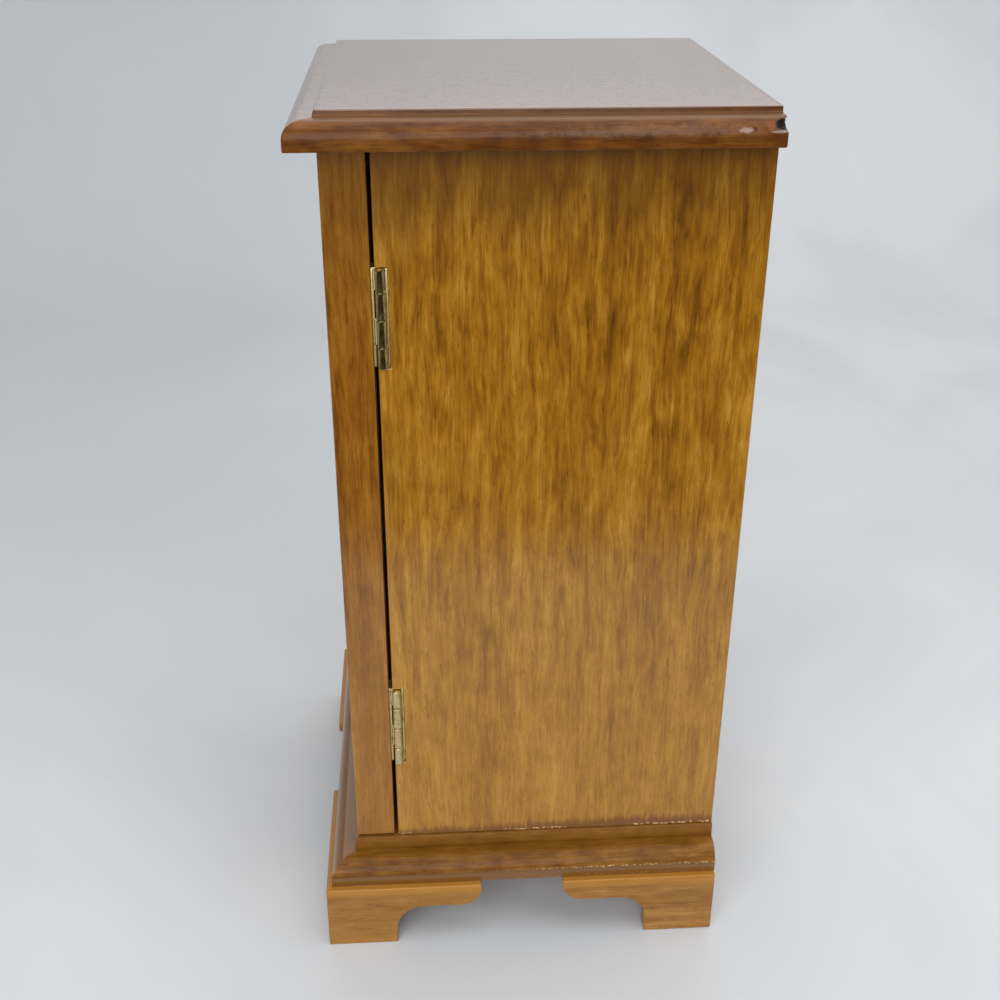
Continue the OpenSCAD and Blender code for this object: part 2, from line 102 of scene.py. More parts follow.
class Flow:
    """An output socket that can be added to, scaled and compared, each time with a Math node."""

    tree = None

    def __init__(self, socket):
        self.socket = socket

    @classmethod
    def node(cls, kind, settings=None, inputs=None, out=0):
        """Adds a node, sets its settings, feeds its inputs with values or flows, and wraps one output."""
        made = cls.tree.nodes.new("ShaderNode" + kind)
        for name, value in (settings or {}).items():
            if name == "stops":
                ramp = made.color_ramp
                while len(ramp.elements) < len(value):
                    ramp.elements.new(0.5)
                for element, (position, colour) in zip(ramp.elements, value):
                    element.position = position
                    element.color = (*colour, 1.0)
            else:
                setattr(made, name, value)
        for name, value in (inputs or {}).items():
            plug = made.inputs[name]
            if isinstance(value, Flow):
                cls.tree.links.new(value.socket, plug)
            else:
                plug.default_value = value
        return cls(made.outputs[out])

    __add__, __radd__ = both_ways("ADD")
    __sub__, __rsub__ = both_ways("SUBTRACT")
    __mul__, __rmul__ = both_ways("MULTIPLY")
    __truediv__, __rtruediv__ = both_ways("DIVIDE")
    __pow__, __rpow__ = both_ways("POWER")

    def __abs__(self):
        return Flow.node("Math", {"operation": "ABSOLUTE"}, {0: self})


print("sockets can be added and multiplied now")


# %% Short names for the nodes used most
def smaller(a, b):
    """The smaller of two flows, or of a flow and a number."""
    return math_node("MINIMUM", a, b)


def larger(a, b):
    """The larger of two flows, or of a flow and a number."""
    return math_node("MAXIMUM", a, b)


def ease(value, low, high):
    """0 below low, 1 above high, and a smooth S between them; low may be the larger one."""
    return Flow.node("MapRange", {"interpolation_type": "SMOOTHSTEP"},
                     {"Value": value, "From Min": low, "From Max": high})


def place():
    """The three object coordinates, in metres, as separate flows."""
    coords = Flow.node("TexCoord", out="Object")
    return [Flow.node("SeparateXYZ", inputs={0: coords}, out=i) for i in range(3)]


def vector(x, y, z):
    """One vector out of three flows or numbers."""
    return Flow.node("CombineXYZ", inputs={0: x, 1: y, 2: z})


def noise(where, scale=1.0, detail=2.0, rough=0.5, warp=0.0):
    """A cloudy value from about 0.2 to 0.8 that changes over 1 / scale of a unit."""
    return Flow.node("TexNoise", {"noise_dimensions": "3D"},
                     {"Vector": where, "Scale": scale, "Detail": detail, "Roughness": rough,
                      "Distortion": warp})


def tint(amount, first, second):
    """first where amount is 0 and second where it is 1; both are colours or colour flows."""
    def plug(colour):
        return colour if isinstance(colour, Flow) else (*colour, 1.0)
    return Flow.node("Mix", {"data_type": "RGBA"}, {0: amount, 6: plug(first), 7: plug(second)}, out=2)


def new_finish(name):
    """An empty node material with its own surface shader; Flow writes into it from now on."""
    material = bpy.data.materials.new(name)
    material.use_nodes = True
    Flow.tree = material.node_tree
    return material, material.node_tree.nodes["Principled BSDF"]


def feed(shader, **parts):
    """Sets a shader's sockets: a flow is linked, a number or colour is written on the socket."""
    for name, value in parts.items():
        plug = shader.inputs[name.replace("_", " ").title().replace("Ior", "IOR")]
        if isinstance(value, Flow):
            Flow.tree.links.new(value.socket, plug)
        else:
            plug.default_value = value


print("noise, places and tints are one call each")


# %% [markdown]
# ## Marks of wear
#
# A used cabinet carries small marks, each at one place: a knocked corner, a scratch, wax
# in a corner. The same shape also lays one painted highlight on the top's round. A mark is a
# soft ellipsoid in object coordinates. Its distance is one at the skin of the ellipsoid, and
# some noise on the distance gives it a ragged edge.

# %% One mark
MARK_EDGE = 0.97


def linear(red, green, blue):
    """A colour as it is seen on a screen, 0 to 255, turned into the linear numbers of a shader."""
    c = np.array([red, green, blue]) / 255.0
    return tuple(float(v) for v in np.where(c <= 0.04045, c / 12.92, ((c + 0.055) / 1.055) ** 2.4))


def mark(spot, centre, size, ragged, grain, blur):
    """1 inside an ellipsoid round centre with half-sizes size (both mm), and 0 outside.

    The distance is the length of (spot - centre) / size, and noise of the given grain shifts it by up to
    a third of ragged either way. The mark fades from 1 to 0 over blur on both sides of its edge.
    """
    steps = [(s - c * MM) / (r * MM) for s, c, r in zip(spot, centre, size)]
    far = (steps[0] * steps[0] + steps[1] * steps[1] + steps[2] * steps[2]) ** 0.5
    far = far + (noise(vector(*spot), grain, 3.0, 0.7) - 0.5) * ragged
    return ease(far, MARK_EDGE + blur, MARK_EDGE - blur)


print("marks are set in mm")


# %% [markdown]
# ## Lacquered wood
#
# The cabinet is a golden-brown hardwood under satin lacquer. Seen close, its colour is made
# of things that all run along the grain: faint ribbons, narrow growth stripes, pinstripes
# half a millimetre wide, and short dark pores. High on the sides flames break them up,
# and lower down the figure is calm and the colour a little paler, a painted sheen. Across
# the grain all of them change within a millimetre, and along it over many, so each is plain
# noise on coordinates that are squeezed along the grain. Every board gets its own shift,
# because two boards never show the same piece of the tree. The lacquer is a clear skin that
# follows the wood only roughly, so a slow wave in the bump breaks up its reflections. Where
# it lies thick it is level, and shines more.

# %% Tones and layers of the wood
# Each tone is four colours, from the deepest to the lightest.
TONES = {
    "golden": (linear(92, 52, 2), linear(139, 89, 9), linear(163, 112, 22), linear(196, 146, 54)),
    "door": (linear(84, 44, 4), linear(130, 78, 8), linear(150, 97, 20), linear(176, 124, 44)),
    "brown": (linear(58, 28, 5), linear(88, 48, 12), linear(108, 63, 18), linear(136, 86, 32)),
    "base": (linear(80, 44, 8), linear(106, 64, 16), linear(125, 80, 25), linear(154, 106, 44)),
    "foot": (linear(118, 74, 22), linear(146, 98, 38), linear(160, 113, 50), linear(184, 138, 72)),
    "inside": (linear(110, 72, 30), linear(150, 104, 52), linear(170, 124, 68), linear(190, 144, 88)),
}
# Each layer: waves per metre across the grain and along it, then the noise's detail, roughness and warp.
LAYERS = {
    "ribbon": (60.0, 4.0, 2.0, 0.5, 0.0),
    "stripe": (270.0, 13.0, 2.0, 0.5, 0.0),
    "pin": (680.0, 34.0, 2.0, 0.6, 0.0),
    "fibre": (1500.0, 85.0, 1.0, 0.5, 0.0),
    "fleck": (640.0, 80.0, 1.0, 0.5, 0.0),
    "pore": (2300.0, 240.0, 1.0, 0.5, 0.0),
    "flame": (200.0, 42.0, 2.0, 0.55, 0.7),
}
print("tones:", ", ".join(TONES))


# %% The wood finish
CALM_BAND = 110.0


def grain_place(axis, seed):
    """Object coordinates turned so that the third runs along the grain, and shifted by the board's seed."""
    x, y, z = place()
    across, other, along = {"x": (y, z, x), "y": (z, x, y), "z": (x, y, z)}[axis]
    return across + 0.137 * seed, other + 0.311 * seed, along + 0.71 * seed


def wood(name, tone, axis, seed, gloss, marks, figure, blotch, wave, glazed, coat, coat_ior, calm_below):
    """Satin wood. figure is the strength of the ribbons, the stripes, the dark flecks and the flame.

    Unless calm_below is None, the figure is fainter below that height (mm), where the board was cut nearer
    the edge of the tree, and the colour there is a little paler, a painted sheen. marks(x, y, z, colour)
    may return the colour with the board's marks and painted light on it.
    glazed(x, y, z) may return how much clear lacquer lies there, from 0 to 1, and it is level where thick.
    """
    material, shader = new_finish(name)
    deep, dark, mid, light = TONES[tone]
    across, other, along = grain_place(axis, seed)

    drift = noise(vector(across * 9.0, other * 9.0, along * 3.0), 1.0, 2.0) - 0.5
    ripple = noise(vector(across * 55.0, other * 55.0, along * 30.0), 1.0, 2.0) - 0.5
    shift = drift * 0.014 + ripple * 0.0035
    a, b = across + shift, other + shift
    ribbon, stripe, pin, fibre, fleck, pore, flame = (
        noise(vector(a * wide, b * wide, along * long), 1.0, detail, rough, warp)
        for wide, long, detail, rough, warp in LAYERS.values())
    cloud = noise(vector(across * 16.0, other * 16.0, along * 10.0), 1.0, 2.0)
    patch = noise(vector(across * 150.0, other * 150.0, along * 90.0), 1.0, 2.0, 0.6)

    value = 0.5 + (ribbon - 0.5) * (0.6 * figure[0]) + (stripe - 0.5) * (0.75 * figure[1]) \
        + (pin - 0.5) * (0.85 * figure[1]) + (fibre - 0.5) * 0.4 + (cloud - 0.5) * 0.3 \
        + (patch - 0.5) * blotch
    strength = 1.0
    # Below calm_below the figure is calmer, and the colour is drawn towards a paler middle tone, a painted
    # sheen.
    if calm_below is not None:
        calm_and_sheen = ease(place()[2], (calm_below + CALM_BAND) * MM, (calm_below - CALM_BAND) * MM)
        strength = 1.0 - calm_and_sheen * 0.6
        value = value * (1.0 - calm_and_sheen * 0.3) + calm_and_sheen * 0.19
    value = value + (flame - 0.5) * (strength * figure[3])
    stops = [(0.10, deep), (0.36, dark), (0.56, mid), (0.90, light)]
    colour = Flow.node("ValToRGB", {"stops": stops}, {0: value})
    flecks = ease(fleck, 0.58, 0.74) * (strength * (0.55 * figure[2]))
    pores = ease(pore, 0.62, 0.72)
    colour = tint(flecks, colour, deep)
    colour = tint(pores * 0.4, colour, tuple(0.5 * v for v in deep))
    if marks is not None:
        colour = marks(*place(), colour)

    skin = noise(vector(across * 170.0, other * 170.0, along * 130.0), 1.0, 2.0, 0.55)
    glaze, level = coat, 1.0
    if glazed is not None:
        glaze = glazed(*place())
        level = 1.0 - glaze
        colour = tint(glaze * 0.85, colour, mid)
    roughness = gloss + (skin - 0.5) * 0.14 + pores * 0.2
    height = (pin * 0.2 + fibre * 0.1 - pores * 0.4 + skin * wave) * level
    bump = Flow.node("Bump", inputs={"Strength": 0.35, "Distance": 0.00012, "Height": height})
    feed(shader, base_color=colour, roughness=roughness, normal=bump, specular_ior_level=0.12,
         coat_weight=glaze, coat_roughness=0.17, coat_ior=coat_ior)
    return material


print("a wooden finish needs", len(LAYERS), "layers of grain")


# %% [markdown]
# ## Stains, wax, a knocked corner and painted light
#
# The side panels are darker under the top: partly stain that was laid on thicker and ran
# down the grain in streaks, partly painted shade of the top's overhang. They are darker
# again just above the base, where the stain gathered against the moulding. A broken line
# of pale wax sits in that corner. The mouldings have small bright flecks along their edges,
# painted glints on worn edges. On the base moulding a painted reflection of the floor greys
# the upright face, and painted light lifts the shaded ledge under the fillet. On the top a
# painted reflection lies on the ledge and painted shade on the step under the field. The
# top board's right back corner was knocked: it shows a dark break, a warm spot of bare wood
# and a pale scuff, and a painted highlight runs along the round from it. The doors darken a
# little under the top as well, partly stain and partly painted shade, and the feet show
# level bands of orange. The lacquer lies thick on the top's field and along the front
# mouldings and thin on the side ones, so two functions give its amount at each place.

# %% Marks of the sides, the doors and the feet
STAIN_AND_SHADE, WAX_AND_GLINT, BREAK_AND_SHADE = linear(98, 56, 8), linear(218, 184, 124), linear(20, 17, 15)
# Heights in metres at which a mark begins and at which it is full.
UNDER_TOP, UNDER_TOP_DOOR, FOOT_TOP = (0.306, 0.352), (0.285, 0.352), (0.0262, 0.0318)
ABOVE_BASE, WAX_LINE = (0.0562, 0.0516), (0.0517, 0.0511)


def trickles(x, y, z):
    """Long streaks down the grain, as a value on both sides of 0."""
    return noise(vector(x * 260.0, y * 260.0, z * 9.0), 1.0, 3.0, 0.65) - 0.5


def side_marks_and_painted_shade(x, y, z, colour):
    """Darker streaks that run down from the top, partly stain and partly painted shade of the top's overhang,
    a ragged stain above the base, and a broken line of wax.
    """
    slow = noise(vector(x * 34.0, y * 34.0, z * 5.0), 1.0, 2.0) - 0.5
    comb = noise(vector(x * 800.0, y * 800.0, z * 30.0), 1.0, 2.0, 0.6) - 0.5
    top = ease(z + trickles(x, y, z) * 0.045 + slow * 0.05, *UNDER_TOP)
    low = ease(z + comb * 0.008 + slow * 0.006, *ABOVE_BASE)
    # Painted shade under the top's overhang, mixed with stain that ran down in streaks.
    colour = tint(top * 0.72, colour, STAIN_AND_SHADE)
    colour = tint(low * 0.9, colour, linear(114, 66, 6))
    crumbs = ease(noise(vector(x * 600.0, y * 700.0, z * 900.0), 1.0, 2.0), 0.50, 0.58)
    lengthwise = ease(noise(vector(y * 30.0, 0.5, 0.5), 1.0, 1.0), 0.44, 0.56)
    return tint(ease(z, *WAX_LINE) * crumbs * lengthwise * 0.9, colour, WAX_AND_GLINT)


def door_marks_and_painted_shade(x, y, z, colour):
    """A little darker just under the top: partly stain, partly painted shade of the top's overhang."""
    return tint(ease(z + trickles(x, y, z) * 0.05, *UNDER_TOP_DOOR) * 0.5, colour, STAIN_AND_SHADE)


def foot_marks(x, y, z, colour):
    """Broad level bands of orange, strongest along the top edge of a foot board."""
    band = noise(vector(x * 14.0, y * 14.0, z * 170.0), 1.0, 2.0, 0.6)
    colour = tint(ease(band, 0.50, 0.66) * 0.45, colour, linear(170, 118, 50))
    return tint(ease(z + (band - 0.5) * 0.006, *FOOT_TOP) * 0.7, colour, linear(182, 126, 40))


print("the stain on the sides begins", UNDER_TOP[0], "m up, and on the doors", UNDER_TOP_DOOR[0])


# %% Marks of the base and the top
# Level lines: the height, the distance where the line ends and where it is full (mm), strength and colour.
# Base: painted light that lifts the shaded ledge under the fillet, then a dark line where the fillet meets
# the ledge.
BASE_LINES = [(43.7, 1.2, 0.3, 0.22, linear(146, 98, 36)), (44.3, 0.5, 0.2, 0.35, STAIN_AND_SHADE)]
# Top: a painted reflection on the ledge, then painted shade on the step under the field.
TOP_PAINTED_LIGHT_LINES = [(364.3, 0.9, 0.3, 0.5, linear(150, 116, 88)), (366.0, 0.5, 0.2, 0.45, BREAK_AND_SHADE)]
BASE_EDGES = (32.9, 37.4)
# Centre and half-sizes (mm), then raggedness, grain, blur, strength and colour, in the order of painting.
TOP_WEAR_AND_HIGHLIGHT = {
    "bare wood": ((92.0, 81.2, 361.8), (3.0, 1.6, 1.4), 0.9, 900.0, 0.11, 0.6, linear(140, 70, 10)),
    "scuff": ((92.5, 72.6, 360.5), (3.0, 2.4, 0.8), 2.4, 1300.0, 0.3, 0.75, linear(190, 164, 150)),
    # A painted highlight along the round, where light glances off it.
    "painted highlight": ((92.5, 46.0, 360.6), (3.0, 38.0, 1.6), 3.2, 420.0, 0.6, 0.34, linear(146, 110, 88)),
    "dark dent": ((92.5, 75.6, 360.7), (3.0, 0.7, 0.9), 1.2, 900.0, 0.11, 0.7, linear(70, 34, 24)),
    "pale streak": ((92.5, 84.5, 359.9), (3.0, 3.4, 0.4), 1.2, 900.0, 0.11, 0.6, linear(168, 160, 148)),
    "break": ((91.2, 85.9, 362.1), (4.5, 3.5, 1.8), 0.3, 900.0, 0.11, 1.0, BREAK_AND_SHADE),
}


def worn_edge_glints(x, y, z, edges):
    """Small bright flecks along level edges at the given heights (mm), thicker towards the back: painted
    glints on worn edges.
    """
    crumbs = ease(noise(vector(x * 900.0, y * 900.0, z * 900.0), 1.5, 2.0, 0.6), 0.52, 0.62)
    total = None
    for edge in edges:
        line = ease(abs(z - edge * MM), 0.00065, 0.00025)
        total = line if total is None else larger(total, line)
    return total * crumbs * ease(y, -0.04, 0.05)


def level_lines(z, colour, lines):
    """The colour with soft level lines on it, each strongest at its own height."""
    for height, end, full, strength, shade in lines:
        colour = tint(ease(abs(z - height * MM), end * MM, full * MM) * strength, colour, shade)
    return colour


def base_marks_and_painted_light(x, y, z, colour):
    """A painted reflection of the pale floor that greys the upright face, painted glints on its two worn
    edges, and painted light that lifts the shaded ledge under the fillet.
    """
    colour = level_lines(z, colour, BASE_LINES)
    colour = tint(ease(z, 44.6 * MM, 45.2 * MM) * 0.4, colour, linear(140, 94, 40))
    # Painted reflection of the pale floor: the upright face below the round is greyer.
    colour = tint(ease(z, 37.8 * MM, 36.8 * MM) * 0.85, colour, linear(98, 72, 44))
    # Painted glints on the worn edges, in the colour of the wax.
    return tint(worn_edge_glints(x, y, z, BASE_EDGES) * 0.95, colour, WAX_AND_GLINT)


def top_marks_and_painted_light(x, y, z, colour):
    """A painted reflection on the ledge, painted shade under the field, and the knocked corner with its
    scuff, bare spot and a painted highlight along the round.
    """
    colour = level_lines(z, colour, TOP_PAINTED_LIGHT_LINES)
    for centre, size, ragged, grain, blur, strength, shade in TOP_WEAR_AND_HIGHLIGHT.values():
        colour = tint(mark((x, y, z), centre, size, ragged, grain, blur) * strength, colour, shade)
    return colour


print("wear on the top:", ", ".join(TOP_WEAR_AND_HIGHLIGHT))


# %% Where the lacquer lies thick
NOSE_X, NOSE_Y, BASE_X, BASE_Y = 92.8, -83.55, 93.8, -84.55


def front_strip(x, y, side, front):
    """1 on the front moulding and 0 on the side ones: nearer to the front edge than to a side edge (mm)."""
    nearer = (side * MM - abs(x)) - (y - front * MM)
    return ease(nearer, -0.6 * MM, 0.6 * MM) * ease(y, -70.0 * MM, -73.0 * MM)


def top_lacquer(x, y, z):
    """Thick and level on the raised field and along the front, thin on the side mouldings."""
    thin, thick = 0.06, 1.0
    field = ease(z, 366.1 * MM, 366.5 * MM)
    front = front_strip(x, y, NOSE_X, NOSE_Y) * ease(z, 359.5 * MM, 361.5 * MM)
    return thin + larger(field, front) * (thick - thin)


def base_lacquer(x, y, z):
    """Thick along the front and on the upright face below the round, thin above it."""
    thin, thick = 0.08, 0.88
    upright = ease(z, 37.4 * MM, 36.2 * MM)
    return thin + larger(upright, front_strip(x, y, BASE_X, BASE_Y)) * (thick - thin)


print("the front mouldings reach y =", NOSE_Y, "and", BASE_Y, "mm")


# %% [markdown]
# ## Which board has which finish
#
# The grain always runs along a board's length, so that the upright boards are striped up
# and down and the base moulding along itself. Each line gives the tone, the direction of
# the grain, the piece of the tree, the roughness and the marks.

# %% Finish every wooden node
BOARDS = {
    "top_board": ("brown", "y", 3, 0.34, top_marks_and_painted_light),
    "side_right": ("golden", "z", 5, 0.33, side_marks_and_painted_shade),
    "side_left": ("golden", "z", 9, 0.33, side_marks_and_painted_shade),
    "back_panel": ("golden", "z", 12, 0.40, None),
    "case_bottom": ("inside", "x", 14, 0.42, None),
    "shelf_lower": ("inside", "x", 17, 0.42, None),
    "shelf_upper": ("inside", "x", 19, 0.42, None),
    "top_rail_front": ("inside", "x", 21, 0.42, None),
    "top_rail_back": ("inside", "x", 23, 0.42, None),
    "base_frame_front": ("base", "x", 25, 0.36, base_marks_and_painted_light),
    "base_frame_right": ("base", "y", 27, 0.36, base_marks_and_painted_light),
    "base_frame_left": ("base", "y", 29, 0.36, base_marks_and_painted_light),
    "base_frame_back": ("inside", "x", 31, 0.40, None),
    "bracket_front_right": ("foot", "x", 33, 0.34, foot_marks),
    "bracket_front_left": ("foot", "x", 35, 0.34, foot_marks),
    "bracket_side_front_right": ("foot", "y", 37, 0.34, foot_marks),
    "bracket_side_front_left": ("foot", "y", 39, 0.34, foot_marks),
    "bracket_side_back_right": ("foot", "y", 41, 0.34, foot_marks),
    "bracket_side_back_left": ("foot", "y", 43, 0.34, foot_marks),
    "bracket_back_right": ("foot", "x", 45, 0.38, foot_marks),
    "bracket_back_left": ("foot", "x", 47, 0.38, foot_marks),
    "foot_glue_blocks": ("inside", "z", 49, 0.45, None),
}
for side, seed in (("right", 60), ("left", 75)):
    BOARDS[f"door_{side}_hinge_stile"] = ("door", "z", seed, 0.32, door_marks_and_painted_shade)
    BOARDS[f"door_{side}_meeting_stile"] = ("door", "z", seed + 2, 0.32, door_marks_and_painted_shade)
    BOARDS[f"door_{side}_top_rail"] = ("door", "x", seed + 4, 0.32, None)
    BOARDS[f"door_{side}_bottom_rail"] = ("door", "x", seed + 6, 0.32, None)
    BOARDS[f"door_{side}_panel"] = ("golden", "z", seed + 8, 0.32, None)

FIGURE = {"brown": (0.4, 0.4, 0.4, 0.5), "base": (0.4, 0.4, 0.4, 0.4), "foot": (1.3, 0.55, 0.25, 0.3),
          "door": (0.7, 0.6, 0.6, 0.7), "golden": (0.75, 0.6, 0.45, 0.8), "inside": (1.0, 1.0, 1.0, 0.3)}
LACQUER = {"brown": top_lacquer, "base": base_lacquer}
FINISHES = {}
for board, (tone, axis, seed, gloss, marks) in BOARDS.items():
    moulded = tone in ("brown", "base")
    upright = tone in ("golden", "door") and axis == "z"
    FINISHES[board] = wood(
        "wood_" + board, tone, axis, seed, gloss, marks, FIGURE[tone],
        blotch=0.9 if moulded else 0.4, wave=2.0 if moulded else 0.7, glazed=LACQUER.get(tone),
        coat=0.4 if tone == "foot" else 0.75, coat_ior=1.95 if tone == "brown" else 1.6,
        calm_below=190.0 if upright else None)
print("wood finishes:", len(FINISHES))


# %% [markdown]
# ## Metals and moulded plastic
#
# The hinges and pulls are brass that has dulled to olive-brown in small clouds. The crowns
# of the hinge barrels carry a painted dark reflection, above all on the upper hinges. The
# screws of the back and the top are plated steel, and so are the poles and the strikes of
# the catches. A metal's colour comes from what it reflects, so the finish only varies the
# tint and the roughness. The catch bodies are moulded in dark brown plastic.

# %% Metal and plastic finishes
CROWN_X, WEB_END_X = 83.6, 81.2


def metal(name, bright, dull, roughness, barrel=False):
    """A metal whose tint and roughness wander between bright and dull in small clouds.

    On a hinge with its barrel it carries a painted dark reflection outside CROWN_X (mm), most of all high
    up, and it is more matt inside WEB_END_X, where the webs are.
    """
    material, shader = new_finish(name)
    x, y, z = place()
    where = vector(x, y, z)
    cloud = noise(where, 420.0, 3.0, 0.6)
    speck = noise(where, 2600.0, 2.0, 0.6)
    dullness = smaller(ease(cloud, 0.42, 0.72) * 0.5 + ease(speck, 0.60, 0.75) * 0.35, 1.0)
    bump = Flow.node("Bump", inputs={"Strength": 0.12, "Distance": 0.00005, "Height": speck})
    colour = tint(dullness, bright, dull)
    matt = 0.0
    if barrel:
        matt = ease(abs(x), (WEB_END_X + 0.2) * MM, (WEB_END_X - 0.2) * MM) * 0.22
        crown_dark_reflection = ease(abs(x), (CROWN_X - 0.3) * MM, (CROWN_X + 0.1) * MM)
        # Painted dark reflection on the outer crown of the barrel, strongest on the upper hinges.
        colour = tint(crown_dark_reflection * (0.2 + 0.6 * ease(z, 0.15, 0.27)), colour, tuple(0.4 * v for v in dull))
    feed(shader, base_color=colour, metallic=1.0,
         roughness=roughness + dullness * 0.22 + (speck - 0.5) * 0.08 + matt, normal=bump)
    return material


def moulded_plastic(name, base):
    """Dark plastic with the fine spark texture of its mould."""
    material, shader = new_finish(name)
    where = vector(*place())
    spark = noise(where, 3200.0, 2.0, 0.6)
    cloud = noise(where, 180.0, 2.0)
    bump = Flow.node("Bump", inputs={"Strength": 0.25, "Distance": 0.00006, "Height": spark})
    feed(shader, base_color=tint(ease(cloud, 0.35, 0.7), base, tuple(1.4 * v for v in base)),
         roughness=0.48 + (spark - 0.5) * 0.2, normal=bump)
    return material


BRASS = metal("brass_worn", linear(216, 190, 126), linear(132, 110, 56), 0.20)
HINGE_BRASS = metal("brass_hinge", linear(228, 208, 150), linear(140, 120, 66), 0.22, barrel=True)
STEEL = metal("steel_plated", linear(190, 190, 188), linear(120, 116, 110), 0.28)
CATCH = moulded_plastic("catch_brown", linear(62, 40, 28))
print("metals: brass and steel; plastic: brown")


# %% [markdown]
# ## Soft edges
#
# No wooden edge is sharp: each was eased with sandpaper and filled by lacquer. The CAD
# boards have the right shape but knife edges, so a copy of each plain board's mesh is
# cleaned and given a narrow bevel. Only long edges take it: the rims of screw holes are
# made of tiny edges, and a bevel wider than those would fold over itself.

# %% Ways to show a piece
def settle(piece, body, slot, *replaced):
    """Rides the piece on its body and hides the CAD nodes that it stands for. The slot argument is not used.
    """
    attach(piece, body)
    if replaced:
        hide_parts(*replaced)
    return piece


def show(name, mesh, finish, sharp_above=32.0):
    """Links a mesh as an object with one finish; faces that meet below sharp_above degrees shade as one."""
    mesh.polygons.foreach_set("use_smooth", np.ones(len(mesh.polygons), bool))
    mesh.set_sharp_from_angle(angle=math.radians(sharp_above))
    mesh.materials.append(finish)
    piece = bpy.data.objects.new(name, mesh)
    bpy.context.scene.collection.objects.link(piece)
    return piece


def eased_copy(node, width, finish, longest_rim=0.9 * MM):
    """A copy of a CAD node: corners merged, flat triangles dissolved, sharp long edges bevelled by width."""
    work = bmesh.new()
    work.from_mesh(nodes[node].data)
    bmesh.ops.remove_doubles(work, verts=work.verts, dist=1e-6)
    bmesh.ops.dissolve_limit(work, angle_limit=math.radians(1.0), verts=work.verts, edges=work.edges)
    weight = work.edges.layers.float.new("bevel_weight_edge")
    for edge in work.edges:
        sharp = len(edge.link_faces) == 2 and edge.calc_face_angle(0.0) > math.radians(30)
        edge[weight] = 1.0 if sharp and edge.calc_length() > longest_rim else 0.0
    mesh = bpy.data.meshes.new(node + "_eased")
    work.to_mesh(mesh)
    work.free()
    piece = show(node + "_eased", mesh, finish)
    bevel = piece.modifiers.new("eased", "BEVEL")
    bevel.limit_method = "WEIGHT"
    bevel.width = width
    bevel.segments = 3
    bevel.use_clamp_overlap = False
    bevel.harden_normals = True
    return piece

print("eased_copy() softens the edges of a board")


# %% The eased boards
node_slot = {s["node"]: s["material_slot"] for s in frame["record"]["subparts"]}
node_body = {n: body for body, members in frame["record"]["behaviour"]["bodies"].items() for n in members}

MOULDED = ("top_board", "base_frame_front", "base_frame_right", "base_frame_left")
EASED = {"side_right": 0.65, "side_left": 0.65, "back_panel": 0.4}
plain_boards = [board for board in BOARDS if board not in MOULDED]
for board in plain_boards:
    width = EASED.get(board, 0.6 if board.startswith(("door", "bracket")) else 0.3)
    settle(eased_copy(board, width * MM, FINISHES[board]), node_body[board], node_slot[board], board)
print("eased boards:", len(plain_boards))


# %% [markdown]
# ## Surfaces from grids of points
#
# The other pieces are surfaces worked out with numpy. A piece is a grid of points: going
# across the grid follows the outline of a slice, and going down it moves from slice to
# slice. `build` only has to join neighbouring points. The columns always close on
# themselves, and the rows either end in a face, end in a pole, or come round in a loop.

# %% Grids into meshes
def build(name, parts, finish, sharp_above=32.0):
    """One mesh out of several (points, closing) pairs; points is (rows, columns, 3) in mm.

    closing is "ends" for a face over the first and last row, "poles" where those rows are single points,
    and "loop" where the last row is joined to the first.
    """
    corners, faces, count = [], [], 0
    for points, closing in parts:
        rows, columns = points.shape[:2]
        index = count + np.arange(rows * columns).reshape(rows, columns)
        count += rows * columns
        corners.append(points.reshape(-1, 3))
        if closing == "ends":
            faces += [index[0, ::-1].tolist(), index[-1].tolist()]
        if closing == "loop":
            index = np.vstack([index, index[:1]])
        beside = np.roll(index, -1, axis=1)
        faces += np.stack([index[:-1], beside[:-1], beside[1:], index[1:]], axis=-1).reshape(-1, 4).tolist()
    mesh = bpy.data.meshes.new(name)
    mesh.from_pydata((np.concatenate(corners) * MM).tolist(), [], faces)
    work = bmesh.new()
    work.from_mesh(mesh)
    bmesh.ops.remove_doubles(work, verts=work.verts, dist=1e-7)
    bmesh.ops.recalc_face_normals(work, faces=work.faces)
    work.to_mesh(mesh)
    work.free()
    return show(name, mesh, finish, sharp_above)


def bow(inset, height, radius, start, stop, steps):
    """Part of a circle as (inset, height) pairs: inset - radius cos a, height + radius sin a.

    The angle a goes from start to stop, in degrees.
    """
    a = np.radians(np.linspace(start, stop, steps))
    return np.stack([inset - radius * np.cos(a), height + radius * np.sin(a)], axis=1)


def rounded_plan(left, right, front, back, corner, side=1):
    """Points round rectangles with round corners, one rectangle for each entry of the edge arrays.

    A corner is centre + corner (cos a, sin a) over a quarter turn, and side points stand evenly spaced
    between one corner and the next. The result is (rectangles, points, 2).
    """
    edges = (left, right, front, back, corner)
    left, right, front, back, corner = (np.asarray(v, float)[:, None] for v in edges)
    spots = [(right - corner, front + corner), (right - corner, back - corner),
             (left + corner, back - corner), (left + corner, front + corner)]
    arcs = []
    for quarter, (x, y) in zip((-1, 0, 1, 2), spots):
        a = np.linspace(0.0, np.pi / 2, 5) + quarter * np.pi / 2
        arcs.append(np.stack([x + corner * np.cos(a), y + corner * np.sin(a)], -1))
    share = np.linspace(0.0, 1.0, side + 2)[1:-1, None]
    runs = [here[:, -1:] * (1 - share) + there[:, :1] * share
            for here, there in zip(arcs, arcs[1:] + arcs[:1])]
    return np.concatenate([part for pair in zip(arcs, runs) for part in pair], axis=1)


print("a grid becomes a mesh with build()")


